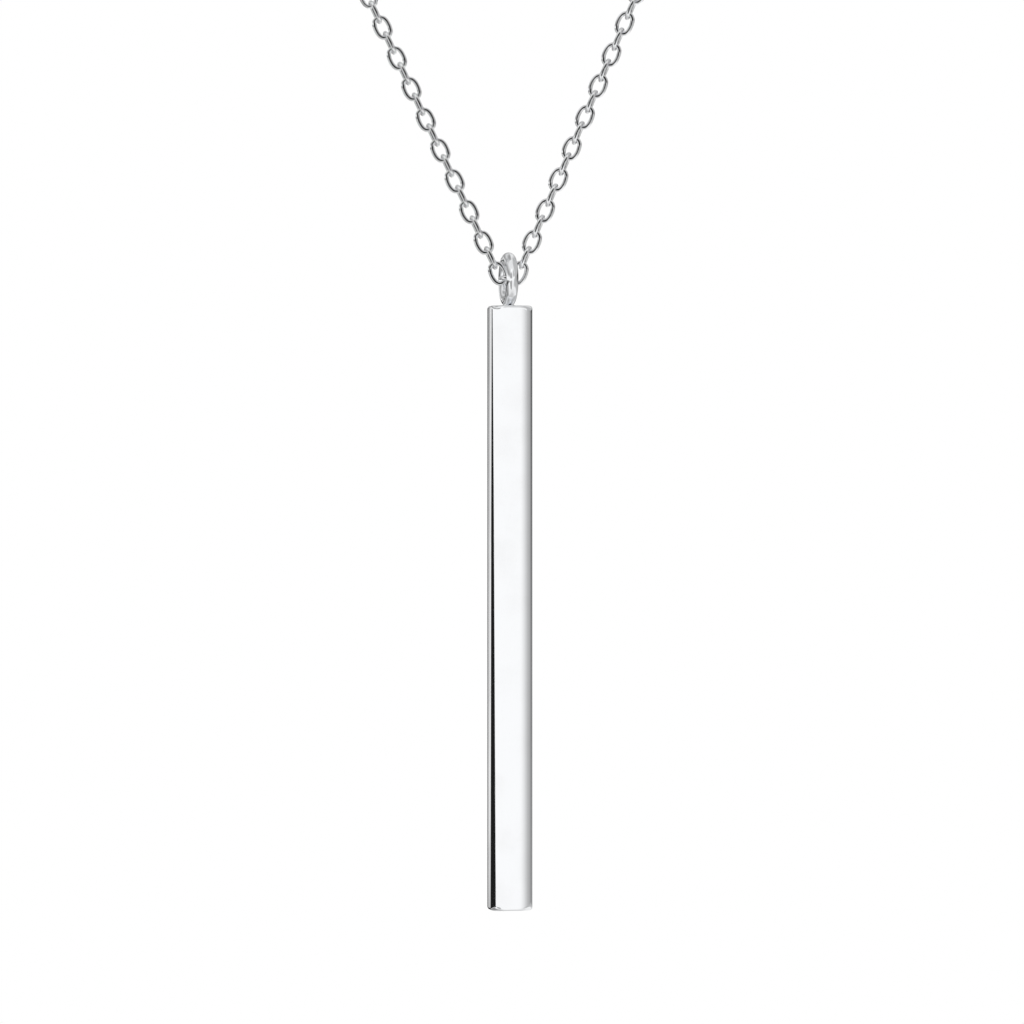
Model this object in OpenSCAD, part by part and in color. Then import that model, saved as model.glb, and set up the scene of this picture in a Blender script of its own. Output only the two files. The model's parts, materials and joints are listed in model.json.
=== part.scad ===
// Bar pendant on a fine oval-link chain, a whole necklace that closes at the nape.
// The origin is the middle of the clasp at the nape, the front of the necklace faces -Y, and +Z is up.

/* [Bar] */
// Length of the four-sided bar
bar_len = 40; // [30:1:50]
// Width of each of the bar's four sides
bar_side = 2.64; // [2.3:0.02:3]
// Radius along the bar's polished edges
bar_edge = 0.32; // [0.2:0.02:0.5]
// How far the bar and its ring are turned from straight ahead
bar_twist = 11; // [0:1:15]

/* [Pendant ring] */
// Outer diameter of the closed ring on the bar
ring_outer = 3.6; // [3.5:0.1:4]
// Thickness of the ring's wire
ring_wire = 0.8; // [0.6:0.05:0.8]
// How far the ring's wire sits in the solder on the bar
ring_sink = 0.06; // [0.04:0.01:0.1]
// How far the ring stands beside the bar's middle
ring_aside = 0.1; // [0:0.02:0.15]

/* [Chain] */
// Length of the whole necklace, closed
necklace_len = 450; // [420:5:500]
// Distance from one link to the next
pitch = 1.124; // [1.1:0.002:1.15]
// Width of a link
link_width = 1.21; // [1.18:0.01:1.24]
// Thickness of the link wire
link_wire = 0.25; // [0.22:0.01:0.26]
// Free space between two links
link_play = 0.12; // [0.11:0.01:0.14]
// Real links on each side of the ring, up to where the plain chain starts
links_each_side = 18; // [4:1:18]
// Thickness of the plain chain beyond the real links
chain_thick = 1.2; // [1:0.1:1.3]

/* [Hang] */
// Half the angle between the two sides of the chain
half_angle = 24.1; // [22:0.1:28]
// How far the necklace hangs off the upright
sway = 1.1; // [0:0.1:2]
// Height of the upright front, above the lowest links
front_height = 20; // [19:1:40]
// How far the chain leans back above the upright front
lean_back = 60; // [40:1:70]
// Radius of the bend between the upright front and the slope over the shoulders
lean_radius = 60; // [50:1:70]

/* [Clasp] */
// Outer diameter of the round clasp
clasp_outer = 4.9; // [4.7:0.1:5.5]
// Thickness of the clasp's tube
clasp_wire = 0.9; // [0.8:0.05:1]
// Outer diameter of the clasp's small eye
eye_outer = 1.9; // [1.8:0.1:2.1]
// Thickness of the eye's wire
eye_wire = 0.5; // [0.4:0.05:0.55]
// Outer diameter of the ring that the clasp closes on
end_ring_outer = 3.4; // [3.2:0.1:3.8]
// Thickness of that ring's wire
end_ring_wire = 0.6; // [0.5:0.05:0.6]

/* [Hidden] */
// How the two lowest links and the one between them lie in the pendant's ring
low_link_side = 0.68;
low_link_depth = 0.34;
low_link_rise = 0.43;
inner_link_rise = 0.1;
inner_link_yaw = 70;
// Sides of a link and of its wire, and how full a link's oval is
link_sides = 14;
wire_sides = 6;
link_fullness = 2.3;
// Rings and sides of the plain chain on each side
tube_rings = 40;
tube_sides = 8;
// Gap where the plain chain meets a link or the clasp's parts
meet_gap = 0.15;
// Gap between the clasp and the ring that it holds
clasp_gap = 0.12;
// Depth of a soldered joint
solder = 0.2;
$fn = 64;

// The pendant hangs from the middle of its ring
bar_top = ring_sink - ring_outer / 2;
stub_radius = ring_wire * 0.35;

// A link's oval, measured to the middle of its wire
link_outer = pitch + 2 * link_wire + link_play;
oval_long = (link_outer - link_wire) / 2;
oval_wide = (link_width - link_wire) / 2;
oval_power = 2 / link_fullness;

// The necklace laid flat: two straight sides that run into a circle round the neck
half_len = necklace_len / 2;
lean = half_angle * PI / 180;
neck_radius = (half_len + low_link_side / sin(half_angle)) / (1 / tan(half_angle) + PI / 2 + lean);
neck_centre = (neck_radius - low_link_side * cos(half_angle)) / sin(half_angle);
straight_len = neck_centre * cos(half_angle) - low_link_side * sin(half_angle);
round_len = neck_radius * (PI / 2 + lean);
side_len = straight_len + round_len;
bend_len = lean_radius * lean_back * PI / 180;

// A point of the flat necklace, at a distance along one side from the lowest link
function flat_side(along) =
    along < straight_len
    ? [low_link_side + along * sin(half_angle), along * cos(half_angle)]
    : let (turn = (along - straight_len) / neck_radius * 180 / PI - half_angle)
      [neck_radius * cos(turn), neck_centre + neck_radius * sin(turn)];

function swayed(p) = [p[0] * cos(sway) - p[1] * sin(sway), p[0] * sin(sway) + p[1] * cos(sway)];

// How far the flat necklace has turned back at a height
function back_turn(height) = min(max((height - front_height) / lean_radius * 180 / PI, 0), lean_back);

// The flat necklace's height and depth, folded back over the shoulders
function fold_mid(height) =
    height < front_height
    ? [0, height]
    : let (turn = back_turn(height), beyond = max(height - front_height - bend_len, 0))
      [lean_radius * (1 - cos(turn)) + beyond * sin(turn),
       front_height + lean_radius * sin(turn) + beyond * cos(turn)];

function folded(flat, depth) =
    let (turn = back_turn(flat[1]), mid = fold_mid(flat[1]))
    [flat[0], mid[0] + depth * cos(turn), mid[1] - depth * sin(turn)];

nape = folded(swayed([0, neck_centre + neck_radius]), 0);

// A point of the chain's middle line: side is 1 to the right and -1 to the left
function chain_point(side, along) =
    let (flat = flat_side(along), depth = side * low_link_depth * (1 - along / side_len))
    folded(swayed([side * flat[0], flat[1]]), depth) - nape;

ring_middle = folded(swayed([0, 0]), 0) - nape - [0, 0, low_link_rise];

// One link as rings of points round its wire: middle, long direction and wide direction
function unit(v) = v / norm(v);
function bulge(x, power) = sign(x) * pow(abs(x), power);

function link_points(middle, long, wide) =
    let (side = cross(long, wide))
    [for (i = [0 : link_sides - 1])
        let (turn = 360 * i / link_sides,
             x = bulge(cos(turn), oval_power),
             y = bulge(sin(turn), oval_power),
             out = unit(bulge(x, link_fullness - 1) / oval_long * long
                        + bulge(y, link_fullness - 1) / oval_wide * wide),
             at = middle + oval_long * x * long + oval_wide * y * wide)
        for (j = [0 : wire_sides - 1])
            let (around = 360 * j / wire_sides)
            at + link_wire / 2 * (cos(around) * out + sin(around) * side)];

function link_faces(first) =
    [for (i = [0 : link_sides - 1])
        for (j = [0 : wire_sides - 1])
            let (next_i = (i + 1) % link_sides,
                 next_j = (j + 1) % wire_sides,
                 a = first + i * wire_sides + j,
                 b = first + next_i * wire_sides + j,
                 c = first + next_i * wire_sides + next_j,
                 d = first + i * wire_sides + next_j)
            for (face = [[a, c, b], [a, d, c]]) face];

// The links on one side lie face on and edge on by turns
function side_link(side, number) =
    let (middle = chain_point(side, (number - 1) * pitch),
         long = unit(chain_point(side, number * pitch) - middle),
         wide = number % 2 == 1 ? unit(cross([0, 1, 0], long)) : unit(cross(long, cross([0, 1, 0], long))))
    link_points(middle, long, wide);

inner_link = link_points(ring_middle + [0, 0, inner_link_rise],
                         [cos(inner_link_yaw), sin(inner_link_yaw), 0],
                         [-sin(inner_link_yaw), cos(inner_link_yaw), 0]);

// The bar with rounded edges, with its middle line on the Z axis and its top at the height given
module rounded_section(width, height) {
    inset = bar_edge;
    square([width - 2 * inset, height], center = true);
    square([width, height - 2 * inset], center = true);
    for (x = [-1, 1], y = [-1, 1])
        translate([x * (width / 2 - inset), y * (height / 2 - inset)])
            circle(inset);
}

module bar(top) {
    translate([0, 0, top - bar_len / 2])
        intersection() {
            linear_extrude(bar_len, center = true)
                rounded_section(bar_side, bar_side);
            rotate([90, 0, 0])
                linear_extrude(2 * bar_side, center = true)
                    rounded_section(bar_side, bar_len);
            rotate([90, 0, 90])
                linear_extrude(2 * bar_side, center = true)
                    rounded_section(bar_side, bar_len);
        }
}

module wire_ring(outer, wire) {
    rotate_extrude()
        translate([(outer - wire) / 2, 0])
            circle(wire / 2);
}

// The bar and the closed ring soldered on its top
module pendant() {
    color("silver")
        translate(ring_middle)
            rotate([0, 0, bar_twist]) {
                rotate([0, 90, 0])
                    wire_ring(ring_outer, ring_wire);
                translate([0, 0, bar_top - solder])
                    cylinder(r = stub_radius, h = 2 * solder + ring_sink);
                translate([ring_aside, 0, 0])
                    bar(bar_top);
            }
}

// The interlocked links that hang from both sides and meet inside the pendant's ring
module front_links() {
    links = concat([inner_link],
                   [for (side = [-1, 1], number = [1 : links_each_side]) side_link(side, number)]);
    points_each = link_sides * wire_sides;
    color("silver")
        polyhedron(points = [for (link = links, p = link) p],
                   faces = [for (i = [0 : len(links) - 1], face = link_faces(i * points_each)) face]);
}

// The rest of the chain on one side, plain and round, from the last real link to the clasp
module plain_chain(side, end_gap) {
    start = (links_each_side - 1) * pitch + link_outer / 2 + meet_gap;
    finish = side_len - end_gap;
    step = (finish - start) / (tube_rings - 1);
    near = step / 10;
    points = [for (i = [0 : tube_rings - 1])
        let (along = start + i * step,
             middle = chain_point(side, along),
             ahead = unit(chain_point(side, along + near) - chain_point(side, along - near)),
             across = unit(cross(ahead, [1, 0, 0.001])),
             beside = cross(ahead, across))
        for (k = [0 : tube_sides - 1])
            let (around = 360 * k / tube_sides)
            middle + chain_thick / 2 * (cos(around) * across + sin(around) * beside)];
    walls = [for (i = [0 : tube_rings - 2], k = [0 : tube_sides - 1])
        let (next_k = (k + 1) % tube_sides,
             a = i * tube_sides + k,
             b = a + tube_sides,
             c = (i + 1) * tube_sides + next_k,
             d = i * tube_sides + next_k)
        for (face = [[a, b, c], [a, c, d]]) face];
    last = (tube_rings - 1) * tube_sides;
    ends = [[for (k = [0 : tube_sides - 1]) k],
            [for (k = [tube_sides - 1 : -1 : 0]) last + k]];
    color("silver")
        polyhedron(points = points, faces = concat(walls, ends));
}

// The clasp lies flat on the slope at the nape
eye_middle = -(clasp_outer + eye_outer) / 2 + solder;
clasp_reach = -eye_middle + eye_outer / 2;
end_ring_middle = clasp_outer / 2 - clasp_wire + end_ring_outer / 2 - end_ring_wire - clasp_gap;
end_ring_reach = end_ring_middle + end_ring_outer / 2;
trigger_len = 1.1;
trigger_radius = 0.25;
trigger_turn = 50;

module at_nape() {
    rotate([90 - lean_back, 0, 0])
        children();
}

module chain_left() {
    plain_chain(-1, clasp_reach + meet_gap);
}

module chain_right() {
    plain_chain(1, end_ring_reach + meet_gap);
}

module clasp() {
    color("silver")
        at_nape()
            rotate([90, 0, 0]) {
                wire_ring(clasp_outer, clasp_wire);
                translate([eye_middle, 0, 0])
                    wire_ring(eye_outer, eye_wire);
                rotate([0, 0, trigger_turn])
                    translate([(clasp_outer - clasp_wire) / 2, 0, 0])
                        rotate([0, 90, 0])
                            cylinder(r = trigger_radius, h = trigger_len);
            }
}

module end_ring() {
    color("silver")
        at_nape()
            translate([end_ring_middle, 0, 0])
                wire_ring(end_ring_outer, end_ring_wire);
}

pendant();
front_links();
chain_left();
chain_right();
clasp();
end_ring();
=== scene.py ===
"""Bar pendant on a fine silver chain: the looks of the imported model."""
import math

import bpy
from mathutils import Matrix, Vector
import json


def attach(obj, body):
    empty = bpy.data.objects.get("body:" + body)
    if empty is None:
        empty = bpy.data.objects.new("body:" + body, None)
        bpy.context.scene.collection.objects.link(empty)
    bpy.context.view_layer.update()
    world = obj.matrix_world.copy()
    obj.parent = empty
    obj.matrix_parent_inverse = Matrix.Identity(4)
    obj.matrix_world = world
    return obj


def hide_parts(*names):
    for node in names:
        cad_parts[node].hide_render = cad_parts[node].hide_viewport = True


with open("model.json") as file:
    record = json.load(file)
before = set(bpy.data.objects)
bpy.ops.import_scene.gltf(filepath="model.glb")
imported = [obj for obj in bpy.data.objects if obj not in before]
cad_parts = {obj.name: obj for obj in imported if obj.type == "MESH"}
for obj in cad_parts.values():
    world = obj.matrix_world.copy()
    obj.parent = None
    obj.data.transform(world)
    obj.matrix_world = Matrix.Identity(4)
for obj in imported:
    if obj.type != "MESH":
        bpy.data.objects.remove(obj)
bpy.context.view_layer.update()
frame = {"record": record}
scene = bpy.context.scene
bpy.ops.object.select_all(action="DESELECT")

# Studio
# The necklace hangs in a white studio. A long lens looks level at the bar and at the lowest part of the chain, and
# a pale round table stands well below.
mm = 0.001
smooth_under = math.radians(32)
view_middle = Vector((3.763, -117.09, -138.065)) * mm
view_width = 67.85 * mm
lens = 200
film_width = 36
nearest_seen = 5 * mm
bpy.ops.object.camera_add(location=view_middle - Vector((0, view_width * lens / film_width, 0)),
                          rotation=(math.pi / 2, 0, 0))
camera = bpy.context.object
camera.data.lens = lens
camera.data.clip_start = nearest_seen
scene.camera = camera
scene.view_settings.view_transform = "Standard"

table_radius = 800 * mm
table_thickness = 10 * mm
table_middle = Vector((0, -60, -265)) * mm
table_edge = 4 * mm
bpy.ops.mesh.primitive_cylinder_add(vertices=128, radius=table_radius, depth=table_thickness, location=table_middle)
table = bpy.context.object
table.name = "table"
bpy.ops.object.modifier_add(type="BEVEL")
table.modifiers[-1].width = table_edge
table.modifiers[-1].segments = 4
bpy.ops.object.modifier_apply(modifier=table.modifiers[-1].name)
bpy.ops.object.shade_smooth_by_angle(angle=smooth_under)
table.visible_glossy = False

# The table is covered with matt white paper, faintly mottled.
paper_shade = (0.84, 0.845, 0.85, 1)
paper_white = (0.90, 0.90, 0.905, 1)
paper = bpy.data.materials.new("table_paper")
paper.use_nodes = True
sheet = paper.node_tree
matte = sheet.nodes["Principled BSDF"]
matte.inputs["Roughness"].default_value = 0.8
grain = sheet.nodes.new("ShaderNodeTexNoise")
grain.inputs["Scale"].default_value = 60
mottle = sheet.nodes.new("ShaderNodeMix")
mottle.data_type = "RGBA"
mottle.inputs["A"].default_value = paper_shade
mottle.inputs["B"].default_value = paper_white
sheet.links.new(grain.outputs["Fac"], mottle.inputs["Factor"])
sheet.links.new(mottle.outputs["Result"], matte.inputs["Base Color"])
table.data.materials.append(paper)

# Walls
# The room as the polished metal sees it: white in front and on the left, grey on the right and dark behind, and a
# black flag on the left that the bar's front left edge picks up. Everything but a reflection sees plain white.
world = bpy.data.worlds.new("studio")
scene.world = world
world.use_nodes = True
room = world.node_tree
room.nodes.clear()


def feed(socket, term):
    if isinstance(term, (int, float)):
        socket.default_value = term
    else:
        term.id_data.links.new(term, socket)


def reckon(operation, first, second=0):
    tree = (second if isinstance(first, (int, float)) else first).id_data
    step = tree.nodes.new("ShaderNodeMath")
    step.operation = operation
    feed(step.inputs[0], first)
    feed(step.inputs[1], second)
    return step.outputs[0]


def times(first, second):
    return reckon("MULTIPLY", first, second)


def plus(first, second):
    return reckon("ADD", first, second)


def minus(first, second):
    return reckon("SUBTRACT", first, second)


# Soft steps: a rise from 0 to 1, a fall from 1 to 0, and a band that rises and falls again.
def rise(term, empty, full):
    step = term.id_data.nodes.new("ShaderNodeMapRange")
    step.interpolation_type = "SMOOTHSTEP"
    feed(step.inputs["Value"], term)
    feed(step.inputs["From Min"], empty)
    feed(step.inputs["From Max"], full)
    return step.outputs["Result"]


def fall(term, full, empty):
    return minus(1, rise(term, full, empty))


def band(term, start, full, fade, end):
    return times(rise(term, start, full), fall(term, fade, end))


def painted(base, mask, tone):
    step = mask.id_data.nodes.new("ShaderNodeMix")
    feed(step.inputs["Factor"], mask)
    feed(step.inputs["A"], base)
    feed(step.inputs["B"], tone)
    return step.outputs["Result"]


# A direction is two angles in degrees: turn, from the front towards the right, and height above eye level.
to_degrees = 180 / math.pi
direction = room.nodes.new("ShaderNodeTexCoord")
reach = room.nodes.new("ShaderNodeSeparateXYZ")
room.links.new(direction.outputs["Generated"], reach.inputs[0])
turn = times(reckon("ARCTAN2", reach.outputs["X"], times(reach.outputs["Y"], -1)), to_degrees)
height = times(reckon("ARCSINE", reach.outputs["Z"]), to_degrees)
below = times(height, -1)
above = reckon("MAXIMUM", height, 0)

# The walls go all round the necklace, in tones from 0 to 1 by turn, and lean a little to the right as they go up.
wall_lean = 0.12
around = plus(reckon("DIVIDE", minus(turn, times(height, wall_lean)), 360), 0.5)
eye_level_tones = ((-180, 0.02), (-159.05, 0.02), (-158.45, 1), (23.2, 1), (24.8, 0.93), (29, 0.82), (37.5, 0.66),
                   (53, 0.5), (82, 0.4), (98, 0.33), (112, 0.02), (180, 0.02))
higher_tones = ((-180, 0.5), (-150, 0.7), (-110, 0.85), (0, 0.97), (110, 0.97), (150, 0.7), (180, 0.5))


def walls_round(tones):
    ramp = room.nodes.new("ShaderNodeValToRGB")
    marks = ramp.color_ramp.elements
    marks[0].color = (tones[0][1],) * 3 + (1,)
    marks[1].color = (tones[-1][1],) * 3 + (1,)
    for angle, tone in tones[1:-1]:
        marks.new((angle + 180) / 360).color = (tone, tone, tone, 1)
    room.links.new(around, ramp.inputs["Fac"])
    return ramp.outputs["Color"]


# The tones at eye level give way to the others 4 to 7 degrees up, on the right 10 to 18 degrees up, and 25 to 41
# degrees down. On the right and behind none is darker than a grey that grows lighter downwards.
slower_on_right = 0.6
slower_downwards = 0.17
least_grey = 0.18
grey_lost_a_degree = 0.03
off_level = reckon("MAXIMUM", times(height, plus(times(rise(turn, 30, 60), -slower_on_right), 1)),
                   times(below, slower_downwards))
least_tone = times(plus(times(height, -grey_lost_a_degree), least_grey), rise(turn, 0, 60))
eye_level = reckon("MAXIMUM", walls_round(eye_level_tones), least_tone)
light = painted(eye_level, rise(off_level, 4.2, 7), walls_round(higher_tones))

# Parts of the room with a tone of their own, over height or depth below eye level and over turn. The degrees say
# where each begins and is full, and where it fades and ends.
upper_left = times(rise(height, 6, 14), band(turn, -190, -180, -60, -30))
ceiling = rise(height, 12, 45)
ceiling_back_left = times(rise(height, 30, 60), fall(turn, -110, -70))
upper_right = times(band(height, 8, 16, 60, 85), band(turn, 30, 60, 130, 160))
floor = rise(below, 15, 45)
floor_underneath = rise(below, 45, 70)
lower_left = times(rise(below, 7, 14), band(turn, -165, -150, -95, -60))
lower_right = times(band(below, 4, 5.5, 20, 34), band(turn, 25, 55, 130, 160))


# The black flag stands from turn -154.6 to -102.8 at eye level. Both its sides lean, and they lean more above eye
# level, so it closes to a point 3 degrees up. It fades out 6 to 10 degrees down.
def past_side(turn_at_eye_level, lean, lean_above):
    return minus(plus(plus(turn, times(height, lean)), times(above, lean_above)), turn_at_eye_level)


flag = times(rise(past_side(-154.6, -0.85, -1.8), -1.4, 1.4), fall(past_side(-102.8, 10.4, 3.6), -4, 4))
flag = times(flag, times(rise(height, -10, -6), fall(turn, -62, -46)))

for place, tone in ((upper_left, 0.3), (ceiling, 0.8), (ceiling_back_left, 0.35), (upper_right, 0.5), (floor, 0.88),
                    (floor_underneath, 0.6), (lower_left, 0.28), (lower_right, 0.5), (flag, 0.012)):
    light = painted(light, place, tone)

ray = room.nodes.new("ShaderNodeLightPath")
toned_walls = room.nodes.new("ShaderNodeBackground")
room.links.new(light, toned_walls.inputs["Color"])
plain_white = room.nodes.new("ShaderNodeBackground")
plain_white.inputs["Color"].default_value = (1, 1, 1, 1)
either = room.nodes.new("ShaderNodeMixShader")
room.links.new(ray.outputs["Is Glossy Ray"], either.inputs["Fac"])
room.links.new(plain_white.outputs[0], either.inputs[1])
room.links.new(toned_walls.outputs[0], either.inputs[2])
studio_walls = room.nodes.new("ShaderNodeOutputWorld")
room.links.new(either.outputs[0], studio_walls.inputs["Surface"])

# Screen
# A wide bowed screen far behind the camera, cut away at the lower right. Its light is kept for the bar and its ring,
# so the wires of the chain show it as black.
screen_x, screen_y, screen_z = 0, -0.117, -0.14
screen_far = 3.1
screen_spread = math.radians(47)
screen_foot = -2.2
cut_top = 0.01
cut_left = 1.1
bpy.ops.mesh.primitive_uv_sphere_add(segments=96, ring_count=90, radius=screen_far,
                                     location=(screen_x, screen_y, screen_z), rotation=(math.pi / 2, 0, 0))
screen = bpy.context.object
screen.name = "front_screen"
bpy.ops.object.transform_apply(location=True, rotation=True, scale=True)
bpy.ops.object.mode_set(mode="EDIT")
bpy.ops.mesh.select_mode(type="FACE")
for on_cut, across_cut in (((0, 0, cut_top), (0, 0, 1)), ((cut_left, 0, 0), (1, 0, 0))):
    bpy.ops.mesh.select_all(action="SELECT")
    bpy.ops.mesh.bisect(plane_co=on_cut, plane_no=across_cut)
bpy.ops.mesh.select_all(action="DESELECT")
bpy.ops.object.mode_set(mode="OBJECT")
screen_edge = screen_y - screen_far * math.cos(screen_spread)
for face in screen.data.polygons:
    cut_away = face.center.z < cut_top and face.center.x > cut_left
    face.select = face.center.y > screen_edge or face.center.z < screen_foot or cut_away
bpy.ops.object.mode_set(mode="EDIT")
bpy.ops.mesh.delete(type="FACE")
bpy.ops.object.mode_set(mode="OBJECT")
screen.visible_camera = screen.visible_diffuse = screen.visible_shadow = screen.visible_transmission = False

# Its light is weaker on the left, except at its top and in a strip level with the necklace, and in a patch at the
# upper right. The numbers are metres across and up.
glow = bpy.data.materials.new("screen_light")
glow.use_nodes = True
lamp = glow.node_tree
lamp.nodes.clear()
spot = lamp.nodes.new("ShaderNodeTexCoord")
spot_reach = lamp.nodes.new("ShaderNodeSeparateXYZ")
lamp.links.new(spot.outputs["Object"], spot_reach.inputs[0])
aside, up = spot_reach.outputs["X"], spot_reach.outputs["Z"]
outside_strip = minus(1, band(up, -0.5, -0.42, 0.04, 0.12))
left_side = times(times(fall(aside, -0.4, 0.1), outside_strip), fall(up, 0.9, 1.6))
right_patch = times(band(up, 0.2, 0.7, 1.9, 2.3), rise(aside, 0.3, 0.9))
shine = lamp.nodes.new("ShaderNodeEmission")
feed(shine.inputs["Strength"], painted(painted(1, left_side, 0.4), right_patch, 0.5))
screen_surface = lamp.nodes.new("ShaderNodeOutputMaterial")
lamp.links.new(shine.outputs[0], screen_surface.inputs["Surface"])
screen.data.materials.append(glow)
lit_by_screen = bpy.data.collections.new("lit_by_screen")
screen.light_linking.receiver_collection = lit_by_screen

# Bar and ring
# A slim four-sided bar of polished silver whose faces fall away softly to their edges, with a closed wire ring
# soldered upright on its top. The ring is all that holds it: it swings on the chain that passes through.
ring_middle = Vector(frame["record"]["behaviour"]["joints"][0]["pos_m"])
bar_len = 40 * mm
bar_side = 2.755 * mm
bar_aside = 0.1 * mm
bar_turn = math.radians(11)
face_fall = 1.2 * mm
fall_steps = 28
fall_fullness = 0.72
end_edge = 0.14 * mm
corner_edge = 0.27 * mm
front_right_edge = 0.4 * mm
corner_tightness = 8
edge_steps = 15
below_edges = 0.2 * mm
weld = 0.001 * mm
ring_radius = 1.4 * mm
ring_wire = 0.8 * mm
ring_sink = 0.06 * mm
bar_top = ring_sink - ring_radius - ring_wire / 2
solder_foot = 0.46 * mm
solder_head = 0.3 * mm
solder_height = 0.3 * mm
solder_middle = bar_top + 0.05 * mm
ring_silver_from = bar_top + 0.02 * mm

bpy.ops.mesh.primitive_cube_add(size=1, location=(bar_aside, 0, bar_top - bar_len / 2))
bar = bpy.context.object
bar.name = "bar_and_ring"
bpy.ops.object.mode_set(mode="EDIT")
bpy.ops.mesh.select_mode(type="EDGE")
bpy.ops.transform.resize(value=(bar_side, bar_side, bar_len))
bpy.ops.mesh.select_all(action="DESELECT")
bpy.ops.object.mode_set(mode="OBJECT")
for edge in bar.data.edges:
    ends = [bar.data.vertices[i].co for i in edge.vertices]
    edge.select = abs(ends[0].z - ends[1].z) > bar_len / 2
bpy.ops.object.mode_set(mode="EDIT")
bpy.ops.mesh.bevel(offset=face_fall, segments=fall_steps, profile=fall_fullness, affect="EDGES", clamp_overlap=False)

# The ends are buffed round, the corners more than the edges between them and the front right one most: rings of
# points are cut near each end, and drawn in along an arc.
quarter = [math.radians(90 * step / edge_steps) for step in range(1, edge_steps + 1)]
for from_end in [front_right_edge * (1 - math.cos(angle)) for angle in quarter] + [front_right_edge + below_edges]:
    for level in (bar_top - from_end, bar_top - bar_len + from_end):
        bpy.ops.mesh.select_all(action="SELECT")
        bpy.ops.mesh.bisect(plane_co=(bar_aside, 0, level), plane_no=(0, 0, 1), threshold=weld)
bpy.ops.object.mode_set(mode="OBJECT")
bpy.ops.object.transform_apply(location=True, rotation=True, scale=True)
for point in bar.data.vertices:
    across, deep = point.co.x - bar_aside, point.co.y
    corner = front_right_edge if across > 0 > deep else corner_edge
    radius = end_edge + (corner - end_edge) * math.sin(2 * math.atan2(deep, across)) ** corner_tightness
    from_end = max(min(bar_top - point.co.z, point.co.z - bar_top + bar_len), 0)
    if from_end < radius:
        inward = (radius - math.sqrt(radius ** 2 - (radius - from_end) ** 2)) / math.hypot(across, deep)
        point.co.x -= across * inward
        point.co.y -= deep * inward

bpy.ops.mesh.primitive_torus_add(major_radius=ring_radius, minor_radius=ring_wire / 2, major_segments=128,
                                 minor_segments=40, rotation=(0, math.pi / 2, 0))
ring = bpy.context.object
bpy.ops.mesh.primitive_cone_add(vertices=64, radius1=solder_foot, radius2=solder_head, depth=solder_height,
                                location=(0, 0, solder_middle))
solder = bpy.context.object


# Two closed forms are made one. This solver gives the same points and faces each time.
def solder_on(piece, part):
    bpy.ops.object.select_all(action="DESELECT")
    piece.select_set(True)
    bpy.context.view_layer.objects.active = piece
    bpy.ops.object.modifier_add(type="BOOLEAN")
    piece.modifiers[-1].operation = "UNION"
    piece.modifiers[-1].solver = "MANIFOLD"
    piece.modifiers[-1].object = part
    bpy.ops.object.modifier_apply(modifier=piece.modifiers[-1].name)
    bpy.data.objects.remove(part)


solder_on(bar, ring)
solder_on(bar, solder)
bar.matrix_world = Matrix.Translation(ring_middle) @ Matrix.Rotation(bar_turn, 4, "Z") @ bar.matrix_world
bpy.ops.object.transform_apply(location=True, rotation=True, scale=True)
bpy.ops.object.shade_smooth_by_angle(angle=smooth_under)

# Polish: what a buffing wheel leaves, faint hairlines along the piece, a slow waviness and a breath of haze.
haze_size = 420
haze_from, haze_full = 0.42, 0.75
haze_share = 0.6
hairline_sizes = (14000, 14000, 500)
hairline_from, hairline_full = 0.62, 0.8
hairline_share = 0.4
hairline_dulling = 0.08
hairline_depth = 0.02
polish = bpy.data.node_groups.new("polish", "ShaderNodeTree")
polish.interface.new_socket(name="Vector", in_out="INPUT", socket_type="NodeSocketVector")
for setting in ("Gloss", "Haze", "Wave size", "Hairlines"):
    polish.interface.new_socket(name=setting, in_out="INPUT", socket_type="NodeSocketFloat")
for result in ("Roughness", "Height", "Dullness"):
    polish.interface.new_socket(name=result, in_out="OUTPUT", socket_type="NodeSocketFloat")
given = polish.nodes.new("NodeGroupInput")
made = polish.nodes.new("NodeGroupOutput")
wave = polish.nodes.new("ShaderNodeTexNoise")
wave.inputs["Detail"].default_value = 1
polish.links.new(given.outputs["Vector"], wave.inputs["Vector"])
polish.links.new(given.outputs["Wave size"], wave.inputs["Scale"])
haze = polish.nodes.new("ShaderNodeTexNoise")
haze.inputs["Scale"].default_value = haze_size
haze.inputs["Detail"].default_value = 5
polish.links.new(given.outputs["Vector"], haze.inputs["Vector"])
hazy = rise(haze.outputs["Fac"], haze_from, haze_full)
drawn_out = polish.nodes.new("ShaderNodeVectorMath")
drawn_out.operation = "MULTIPLY"
drawn_out.inputs[1].default_value = hairline_sizes
polish.links.new(given.outputs["Vector"], drawn_out.inputs[0])
hair = polish.nodes.new("ShaderNodeTexNoise")
hair.inputs["Scale"].default_value = 1
hair.inputs["Detail"].default_value = 3
polish.links.new(drawn_out.outputs[0], hair.inputs["Vector"])
hairline = times(rise(hair.outputs["Fac"], hairline_from, hairline_full), given.outputs["Hairlines"])
glossy = plus(given.outputs["Gloss"], times(hazy, given.outputs["Haze"]))
feed(made.inputs["Roughness"], plus(glossy, times(hairline, hairline_dulling)))
feed(made.inputs["Height"], minus(wave.outputs["Fac"], times(hairline, hairline_depth)))
feed(made.inputs["Dullness"], plus(times(hazy, haze_share), times(hairline, hairline_share)))


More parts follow.
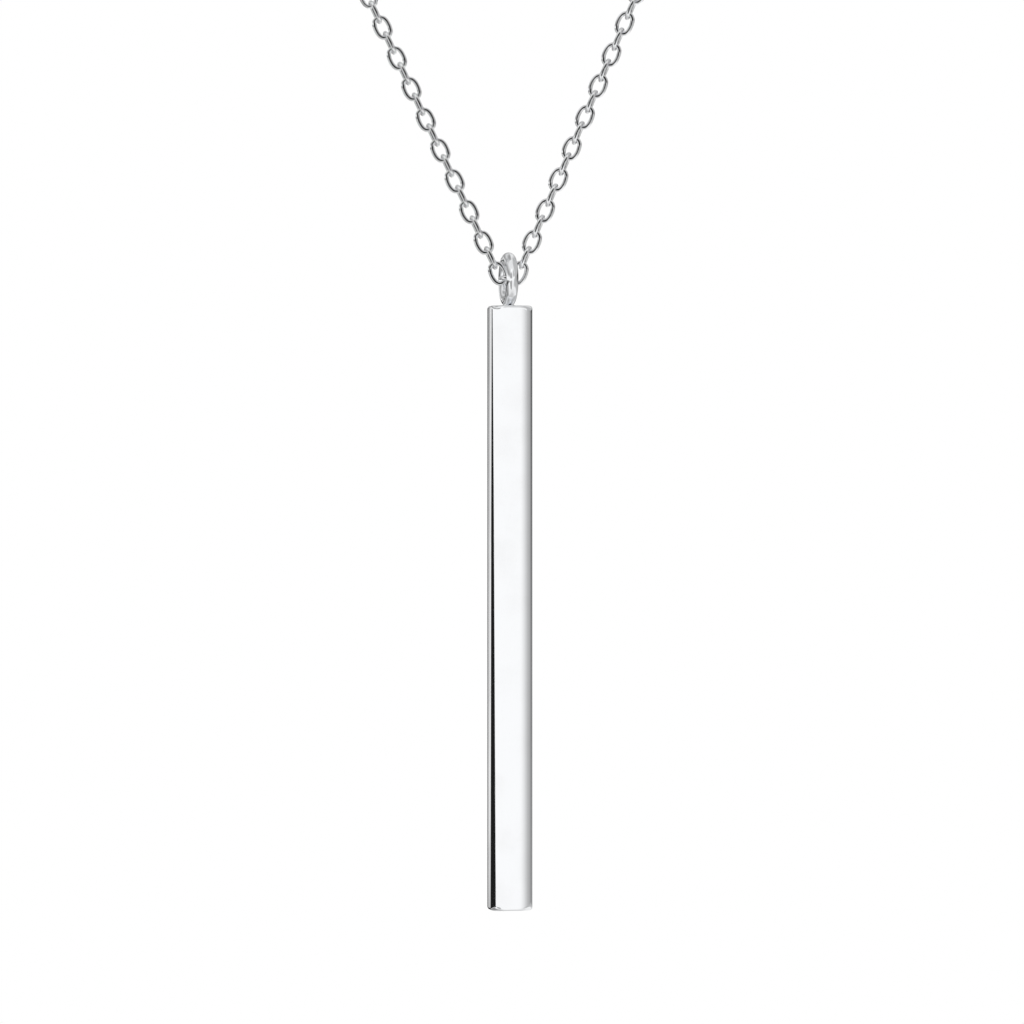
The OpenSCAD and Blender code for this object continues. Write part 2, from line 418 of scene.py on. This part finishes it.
def silver(name, bright, dull, gloss, haze_added, wave_size, hairlines, wave_depth):
    material = bpy.data.materials.new(name)
    material.use_nodes = True
    tree = material.node_tree
    metal = tree.nodes["Principled BSDF"]
    metal.inputs["Metallic"].default_value = 1
    on_piece = tree.nodes.new("ShaderNodeTexCoord")
    polished = tree.nodes.new("ShaderNodeGroup")
    polished.node_tree = polish
    polished.inputs["Gloss"].default_value = gloss
    polished.inputs["Haze"].default_value = haze_added
    polished.inputs["Wave size"].default_value = wave_size
    polished.inputs["Hairlines"].default_value = hairlines
    tree.links.new(on_piece.outputs["Object"], polished.inputs["Vector"])
    colour = tree.nodes.new("ShaderNodeMix")
    colour.data_type = "RGBA"
    colour.inputs["A"].default_value = bright + (1,)
    colour.inputs["B"].default_value = dull + (1,)
    tree.links.new(polished.outputs["Dullness"], colour.inputs["Factor"])
    tree.links.new(colour.outputs["Result"], metal.inputs["Base Color"])
    tree.links.new(polished.outputs["Roughness"], metal.inputs["Roughness"])
    bump = tree.nodes.new("ShaderNodeBump")
    bump.inputs["Distance"].default_value = wave_depth
    tree.links.new(polished.outputs["Height"], bump.inputs["Height"])
    tree.links.new(bump.outputs["Normal"], metal.inputs["Normal"])
    return material


bar_silver = silver("bar_silver", bright=(0.955, 0.965, 0.98), dull=(0.90, 0.905, 0.915), gloss=0.03,
                    haze_added=0.03, wave_size=220, hairlines=0.4, wave_depth=0.004 * mm)
ring_silver = silver("ring_silver", bright=(0.95, 0.96, 0.975), dull=(0.88, 0.885, 0.895), gloss=0.09,
                     haze_added=0.04, wave_size=400, hairlines=0.3, wave_depth=0.003 * mm)
bar.data.materials.clear()
bar.data.materials.append(bar_silver)
bar.data.materials.append(ring_silver)
for face in bar.data.polygons:
    face.material_index = int(face.center.z > ring_middle.z + ring_silver_from)
lit_by_screen.objects.link(bar)
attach(bar, "drop")
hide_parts("pendant")

# Chain in front
# Oval links of round silver wire, each closed with a soldered seam, that hang through one another face on and
# edge on by turns. One link lies across the inside of the pendant's ring and carries the two sides of the chain.
necklace_half = 225 * mm
half_angle = math.radians(24.1)
sway = math.radians(1.1)
front_height = 20 * mm
lean_back = math.radians(60)
lean_radius = 60 * mm
low_side = 0.68 * mm
low_depth = 0.34 * mm
inner_rise = 0.1 * mm
inner_turn = math.radians(70)
pitch = 1.124 * mm
link_wire = 0.28 * mm
link_play = 0.004 * mm
link_length = pitch + 2 * link_wire + link_play
link_width = 1.2 * mm
link_fullness = 0.64
front_links = 18
edge_on_turn = math.radians(8)
seam_half = 0.005 * mm
link_seam_dip = 0.05

neck_radius = ((necklace_half + low_side / math.sin(half_angle))
               / (1 / math.tan(half_angle) + math.pi / 2 + half_angle))
neck_middle = (neck_radius - low_side * math.cos(half_angle)) / math.sin(half_angle)
straight = neck_middle * math.cos(half_angle) - low_side * math.sin(half_angle)


# Laid flat, each side of the chain runs straight up from the ring, and then round the neck in an arc to the nape.
def laid_flat(along):
    if along < straight:
        return low_side + along * math.sin(half_angle), along * math.cos(half_angle)
    turned = (along - straight) / neck_radius - half_angle
    return neck_radius * math.cos(turned), neck_middle + neck_radius * math.sin(turned)


# Hung, it sways a little to one side, stands upright in front, and leans back over the shoulders.
def hung(across, up, depth):
    across, up = (across * math.cos(sway) - up * math.sin(sway), across * math.sin(sway) + up * math.cos(sway))
    turned = min(max((up - front_height) / lean_radius, 0), lean_back)
    beyond = max(up - front_height - lean_radius * lean_back, 0)
    back = lean_radius * (1 - math.cos(turned)) + beyond * math.sin(turned)
    raised = min(up, front_height) + lean_radius * math.sin(turned) + beyond * math.cos(turned)
    skin = Vector((0, math.cos(turned), -math.sin(turned)))
    return Vector((across, back, raised)) + depth * skin, skin


nape = hung(0, neck_middle + neck_radius, 0)[0]


# A point on the chain. The left side starts a little in front of the ring, the right side a little behind it.
def chain_place(side, along):
    across, up = laid_flat(along)
    point, skin = hung(side * across, up, side * low_depth * (1 - along / necklace_half))
    return point - nape, skin


# A link's place, from its middle, its long way and its wide way.
def link_place(middle, long, wide):
    turned = Matrix((long, wide, long.cross(wide))).transposed().to_4x4()
    return Matrix.Translation(middle) @ turned


def link_on(side, along, spacing, face_on):
    middle, skin = chain_place(side, along)
    long = (chain_place(side, along + spacing / 2)[0] - chain_place(side, along - spacing / 2)[0]).normalized()
    skin = (skin - skin.dot(long) * long).normalized()
    wide = skin.cross(long) if face_on else Matrix.Rotation(-side * edge_on_turn, 3, long) @ skin
    return link_place(middle, long, wide)


# One link: wire bent to an oval, fuller than an ellipse.
def bend_link(name, points_a_quarter, wire_sides):
    bpy.ops.object.select_all(action="DESELECT")
    bpy.ops.curve.primitive_bezier_circle_add(radius=1)
    link = bpy.context.object
    link.name = name
    long, wide = (link_length - link_wire) / 2, (link_width - link_wire) / 2
    for knot in link.data.splines[0].bezier_points:
        knot.handle_left_type = knot.handle_right_type = "FREE"
        at = knot.co.copy()
        forward = (knot.handle_right - at).normalized() * link_fullness
        knot.handle_left, knot.handle_right = at - forward, at + forward
    for knot in link.data.splines[0].bezier_points:
        for point in (knot.co, knot.handle_left, knot.handle_right):
            point.x *= long
            point.y *= wide
    link.data.resolution_u = points_a_quarter
    link.data.bevel_depth = link_wire / 2
    link.data.bevel_resolution = wire_sides
    bpy.ops.object.convert(target="MESH")
    return bpy.context.object


# Copies of one link at all its places, joined as one piece of chain.
def string_links(pattern, name, places):
    bpy.ops.object.select_all(action="DESELECT")
    for place in places:
        link = pattern.copy()
        link.data = pattern.data.copy()
        link.matrix_world = place
        bpy.context.collection.objects.link(link)
        link.select_set(True)
    bpy.context.view_layer.objects.active = link
    bpy.ops.object.join()
    chain = bpy.context.object
    chain.name = name
    bpy.ops.object.transform_apply(location=True, rotation=True, scale=True)
    bpy.ops.object.mode_set(mode="EDIT")
    bpy.ops.mesh.select_all(action="SELECT")
    bpy.ops.mesh.remove_doubles(threshold=weld)
    bpy.ops.mesh.normals_make_consistent(inside=False)
    bpy.ops.object.mode_set(mode="OBJECT")
    bpy.ops.object.shade_smooth()
    return chain


fine_link = bend_link("fine_link", points_a_quarter=14, wire_sides=7)
for point in fine_link.data.vertices:
    if point.co.y > 0 and abs(point.co.x) < seam_half:
        point.co.y += (link_width / 2 - link_wire / 2 - point.co.y) * link_seam_dip
        point.co.z *= 1 - link_seam_dip
places = [link_place(ring_middle + Vector((0, 0, inner_rise)),
                     Vector((math.cos(inner_turn), math.sin(inner_turn), 0)),
                     Vector((-math.sin(inner_turn), math.cos(inner_turn), 0)))]
for side in (-1, 1):
    for number in range(front_links):
        places.append(link_on(side, number * pitch, pitch, number % 2 == 0))
front = string_links(fine_link, "chain_front", places)
chain_silver = silver("chain_silver", bright=(0.96, 0.965, 0.975), dull=(0.86, 0.865, 0.875), gloss=0.04,
                      haze_added=0.03, wave_size=900, hairlines=0.2, wave_depth=0.001 * mm)
front.data.materials.append(chain_silver)
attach(front, "necklace")
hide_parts("front_links")

# Rest of the chain
# The same links run on over both shoulders to the nape. The last one on the left is closed round the clasp's
# eye, and the last one on the right round the plain ring that the clasp holds.
eye_end = 4.15 * mm
eye_wire = 0.5 * mm
end_ring_end = 4.23 * mm
end_ring_wire = 0.6 * mm
link_gap = 0.02 * mm
left_links = 179
right_links = 180
small_link = bend_link("small_link", points_a_quarter=3, wire_sides=0)
for side, name, node, reach_end, held_wire, steps in (
        (-1, "chain_left_links", "chain_left", eye_end, eye_wire, left_links),
        (1, "chain_right_links", "chain_right", end_ring_end, end_ring_wire, right_links)):
    first = (front_links - 1) * pitch
    last = necklace_half - (reach_end - held_wire - link_gap - link_wire + link_length / 2)
    spacing = (last - first) / steps
    places = [link_on(side, first + step * spacing, spacing, (front_links - 1 + step) % 2 == 0)
              for step in range(1, steps + 1)]
    run = string_links(small_link, name, places)
    run.data.materials.append(chain_silver)
    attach(run, "necklace")
    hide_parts(node)
for pattern in (fine_link, small_link):
    bpy.data.objects.remove(pattern)

# Clasp
# A spring ring clasp: a round silver tube with a short opening that a thinner sprung wire closes, a small knob
# to draw the wire back, and a soldered eye. It lies on edge at the nape and holds the plain ring.
clasp_radius = 2 * mm
clasp_wire = 0.9 * mm
gate_wire = 0.56 * mm
tube_turn = math.radians(322)
tube_start = math.radians(-8)
tube_edge = 0.1 * mm
tube_edge_from = math.radians(60)
eye_radius = 0.7 * mm
eye_middle = 3.2 * mm
knob_turn = math.radians(50)
knob_len = 1.1 * mm
stem_radius = 0.2 * mm
knob_radius = 0.27 * mm
knob_back = 0.22 * mm
clasp_tilt = math.radians(120)

bpy.ops.object.select_all(action="DESELECT")
bpy.ops.mesh.primitive_circle_add(vertices=32, radius=clasp_wire / 2, fill_type="NGON",
                                  rotation=(math.pi / 2, 0, 0))
clasp = bpy.context.object
clasp.name = "spring_clasp"
bpy.ops.object.mode_set(mode="EDIT")
bpy.ops.transform.translate(value=(clasp_radius, 0, 0))
bpy.ops.transform.rotate(value=-tube_start, orient_axis="Z", center_override=(0, 0, 0))
bpy.ops.mesh.spin(steps=96, angle=tube_turn, center=(0, 0, 0), axis=(0, 0, 1))
bpy.ops.mesh.select_all(action="SELECT")
bpy.ops.mesh.normals_make_consistent(inside=False)
bpy.ops.object.mode_set(mode="OBJECT")
bpy.ops.object.transform_apply(location=True, rotation=True, scale=True)
bpy.ops.object.modifier_add(type="BEVEL")
clasp.modifiers[-1].width = tube_edge
clasp.modifiers[-1].segments = 3
clasp.modifiers[-1].limit_method = "ANGLE"
clasp.modifiers[-1].angle_limit = tube_edge_from
bpy.ops.object.modifier_apply(modifier=clasp.modifiers[-1].name)

knob_side = Matrix.Rotation(knob_turn, 3, "Z") @ Vector((1, 0, 0))
bpy.ops.mesh.primitive_torus_add(major_radius=clasp_radius, minor_radius=gate_wire / 2, major_segments=96,
                                 minor_segments=24)
gate = bpy.context.object
bpy.ops.mesh.primitive_torus_add(major_radius=eye_radius, minor_radius=eye_wire / 2, major_segments=64,
                                 minor_segments=24, location=(-eye_middle, 0, 0))
eye = bpy.context.object
bpy.ops.mesh.primitive_cylinder_add(vertices=32, radius=stem_radius, depth=knob_len,
                                    location=knob_side * (clasp_radius + knob_len / 2),
                                    rotation=(0, math.pi / 2, knob_turn))
stem = bpy.context.object
bpy.ops.mesh.primitive_uv_sphere_add(segments=32, ring_count=16, radius=knob_radius,
                                     location=knob_side * (clasp_radius + knob_len - knob_back))
knob = bpy.context.object
for part in (gate, eye, stem, knob):
    solder_on(clasp, part)
bpy.ops.object.mode_set(mode="EDIT")
bpy.ops.mesh.select_all(action="SELECT")
bpy.ops.mesh.remove_doubles(threshold=weld)
bpy.ops.mesh.dissolve_degenerate(threshold=weld)
bpy.ops.object.mode_set(mode="OBJECT")
clasp.matrix_world = Matrix.Rotation(clasp_tilt, 4, "X") @ clasp.matrix_world
bpy.ops.object.transform_apply(location=True, rotation=True, scale=True)
bpy.ops.object.shade_smooth_by_angle(angle=smooth_under)
clasp_silver = silver("clasp_silver", bright=(0.95, 0.955, 0.965), dull=(0.84, 0.845, 0.855), gloss=0.1,
                      haze_added=0.08, wave_size=500, hairlines=0.35, wave_depth=0.008 * mm)
clasp.data.materials.clear()
clasp.data.materials.append(clasp_silver)
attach(clasp, "necklace")
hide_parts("clasp")

# End ring
# A plain ring of silver wire, bent round and soldered shut, that the clasp closes on. Its seam is a fine dip in
# the wire.
end_ring_radius = 1.4 * mm
end_ring_middle = 2.53 * mm
end_ring_tilt = math.radians(30)
end_ring_seam_dip = 0.12
bpy.ops.object.select_all(action="DESELECT")
bpy.ops.mesh.primitive_torus_add(major_radius=end_ring_radius, minor_radius=end_ring_wire / 2, major_segments=96,
                                 minor_segments=28)
end_ring = bpy.context.object
end_ring.name = "closing_ring"
for point in end_ring.data.vertices:
    if abs(point.co.x) < seam_half and point.co.y > 0:
        point.co.y += (end_ring_radius - point.co.y) * end_ring_seam_dip
        point.co.z *= 1 - end_ring_seam_dip
end_ring.matrix_world = Matrix.Rotation(end_ring_tilt, 4, "X") @ Matrix.Translation((end_ring_middle, 0, 0))
bpy.ops.object.transform_apply(location=True, rotation=True, scale=True)
bpy.ops.object.shade_smooth()
end_ring.data.materials.append(clasp_silver)
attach(end_ring, "necklace")
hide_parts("end_ring")
